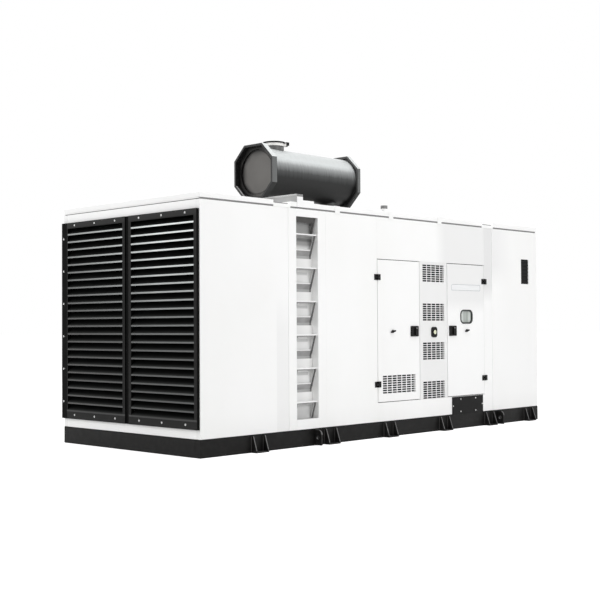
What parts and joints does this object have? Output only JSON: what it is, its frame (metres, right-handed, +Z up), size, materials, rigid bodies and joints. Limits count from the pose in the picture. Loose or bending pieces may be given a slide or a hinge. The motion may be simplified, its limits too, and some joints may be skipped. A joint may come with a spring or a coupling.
{
  "type": "diesel generator",
  "caption": "Containerised diesel generator: white soundproof canopy on a black base, louvred ends, hinged side doors, recessed ladder and a roof muffler with a rain cap.",
  "frame": {"origin": "middle of the base on the floor", "axes": "+Z up, +X along the canopy from the louvre end to the control end, -Y towards the door side"},
  "size_m": [6.072, 2.5, 3.4533],
  "materials": {
    "canopy_white": "semi-gloss powder coat",
    "base_black": "satin black paint",
    "cover_black": "satin black paint",
    "louvre_black": "satin black powder coat, worn pale along the blade lips",
    "grille_black": "matt black paint",
    "hardware_black": "satin black powder coat",
    "window_rubber": "matt rubber seal",
    "window_glass": "tinted safety glass",
    "plate_grey": "matt blank plate",
    "button_plastic": "moulded surround with a pale yellow button",
    "muffler_steel": "grey heat-resistant paint with a satin sheen",
    "end_plate_steel": "warm grey heat-resistant paint"
  },
  "bodies": {
    "root": {"base_rails": "base_black", "base_end_beams": "base_black", "deck_plate": "base_black", "anchor_feet": "base_black", "lifting_lugs": "base_black", "cable_entry_cover": "cover_black", "front_louvres": "louvre_black", "rear_louvres": "louvre_black", "louvre_mullions": "louvre_black", "end_wall_strips": "canopy_white", "radiator_side_panels": "canopy_white", "lifting_posts": "canopy_white", "ladder_jambs": "canopy_white", "ladder_pans": "canopy_white", "ladder_steps": "canopy_white", "middle_side_panels": "canopy_white", "door_headers": "canopy_white", "door_sills": "canopy_white", "vent_panels": "canopy_white", "control_side_panels": "canopy_white", "control_panel_grilles": "grille_black", "hinge_brackets": "hardware_black", "far_doors": "canopy_white", "far_door_hardware": "hardware_black", "stop_button": "button_plastic", "roof_panels": "canopy_white", "roof_seam_strips": "canopy_white", "roof_curb": "canopy_white", "roof_breather": "canopy_white", "muffler_drum": "muffler_steel", "muffler_end_frames": "muffler_steel", "muffler_end_plates": "end_plate_steel", "muffler_stands": "muffler_steel", "muffler_inlet": "muffler_steel", "muffler_outlet": "muffler_steel"},
    "door_1": {"door_1_leaf": "canopy_white", "door_1_hinge_straps": "hardware_black", "door_1_latch": "hardware_black"},
    "door_2": {"door_2_leaf": "canopy_white", "door_2_hinge_straps": "hardware_black", "door_2_latch": "hardware_black", "window_frame": "window_rubber", "window_glass": "window_glass", "name_plate": "plate_grey"},
    "rain_flap": {"rain_cap": "hardware_black"}
  },
  "joints": [
    {"name": "door_1_hinge", "type": "hinge", "parent": "root", "child": "door_1", "pos_m": [-0.341, -1.161, 1.2165], "axis": [0, 0, -1], "range_deg": [0, 110]},
    {"name": "door_2_hinge", "type": "hinge", "parent": "root", "child": "door_2", "pos_m": [1.764, -1.161, 1.2165], "axis": [0, 0, 1], "range_deg": [0, 110]},
    {"name": "rain_flap_hinge", "type": "hinge", "parent": "root", "child": "rain_flap", "pos_m": [-0.73911, -0.10889, 3.439], "axis": [0.7071, 0.7071, 0], "range_deg": [0, 70]}
  ]
}
